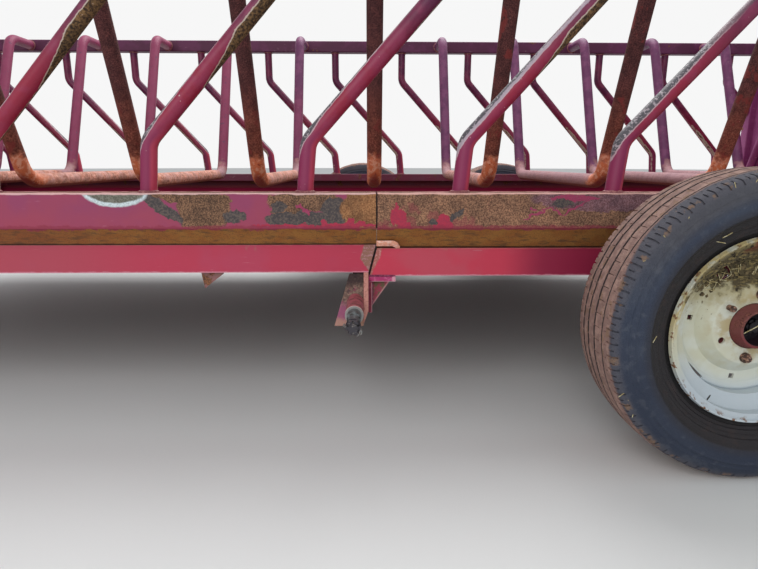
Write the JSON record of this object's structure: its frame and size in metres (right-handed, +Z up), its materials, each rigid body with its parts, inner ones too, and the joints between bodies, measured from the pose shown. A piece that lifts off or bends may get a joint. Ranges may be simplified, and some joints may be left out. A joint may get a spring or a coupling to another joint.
{
  "type": "hay feeder wagon",
  "caption": "Two-axle hay feeder wagon: sheet trough, slanted pipe sides, pipe cradle, tongue with a swing-up jack; one wheel is missing.",
  "frame": {"origin": "on the ground, halfway along the whole length and on the centreline", "axes": "+X from the tow end to the rear, +Y to the far side of the picture, +Z up"},
  "size_m": [6.1788, 2.8004, 1.4338],
  "materials": {
    "magenta_paint": "faded and rust-worn magenta paint",
    "violet_paint": "chalky violet paint",
    "red_pipe": "worn red paint",
    "hoop_rust": "rusted with remains of paint",
    "rusty_sheet": "bare rusted sheet",
    "tow_end_paint": "faded magenta paint",
    "wheel_white": "dusty white paint",
    "cast_hub": "rusty",
    "bare_steel": "greasy steel",
    "tyre": "dusty rubber"
  },
  "bodies": {
    "wagon": {"axle_legs": "magenta_paint", "corner_posts": "violet_paint", "cross_members_front": "magenta_paint", "cross_members_rear": "magenta_paint", "end_braces": "violet_paint", "end_panel_front": "violet_paint", "end_panel_rear": "violet_paint", "hitch_clevis": "tow_end_paint", "hoops_front": "hoop_rust", "hoops_rear": "hoop_rust", "jack_mount": "tow_end_paint", "pan_front": "rusty_sheet", "pan_rear": "rusty_sheet", "rail_far_front": "magenta_paint", "rail_far_rear": "magenta_paint", "rail_gussets": "magenta_paint", "rail_near_front": "magenta_paint", "rail_near_rear": "magenta_paint", "sill_end_front": "magenta_paint", "sill_end_rear": "magenta_paint", "sill_far_front": "magenta_paint", "sill_far_rear": "magenta_paint", "sill_near_front": "magenta_paint", "sill_near_rear": "magenta_paint", "slants_far": "red_pipe", "slants_near": "red_pipe", "spindles": "bare_steel", "splice_plates": "magenta_paint", "tongue_frame": "tow_end_paint", "top_rail_far": "violet_paint", "top_rail_near": "violet_paint", "top_rails_end": "violet_paint"},
    "near_rear_wheel": {"hub_near_rear": "cast_hub", "rim_near_rear": "wheel_white", "tyre_near_rear": "tyre"},
    "far_front_wheel": {"hub_far_front": "cast_hub", "rim_far_front": "wheel_white", "tyre_far_front": "tyre"},
    "far_rear_wheel": {"hub_far_rear": "cast_hub", "rim_far_rear": "wheel_white", "tyre_far_rear": "tyre"},
    "jack": {"jack_tube": "tow_end_paint", "jack_crank": "tow_end_paint"},
    "jack_foot": {"jack_leg": "tow_end_paint"}
  },
  "joints": [
    {"name": "near_rear_wheel_spin", "type": "hinge", "parent": "wagon", "child": "near_rear_wheel", "pos_m": [1.512, -1.288, 0.359], "axis": [0, 1, 0], "continuous": true},
    {"name": "far_front_wheel_spin", "type": "hinge", "parent": "wagon", "child": "far_front_wheel", "pos_m": [0.594, 1.288, 0.359], "axis": [0, 1, 0], "continuous": true},
    {"name": "far_rear_wheel_spin", "type": "hinge", "parent": "wagon", "child": "far_rear_wheel", "pos_m": [1.512, 1.288, 0.359], "axis": [0, 1, 0], "continuous": true},
    {"name": "jack_swing", "type": "hinge", "parent": "wagon", "child": "jack", "pos_m": [-2.564, 0, 0.48], "axis": [0, -1, 0], "range_deg": [0, 90]},
    {"name": "jack_lift", "type": "slide", "parent": "jack", "child": "jack_foot", "axis": [0, 0, 1], "range_m": [0, 0.25]}
  ]
}
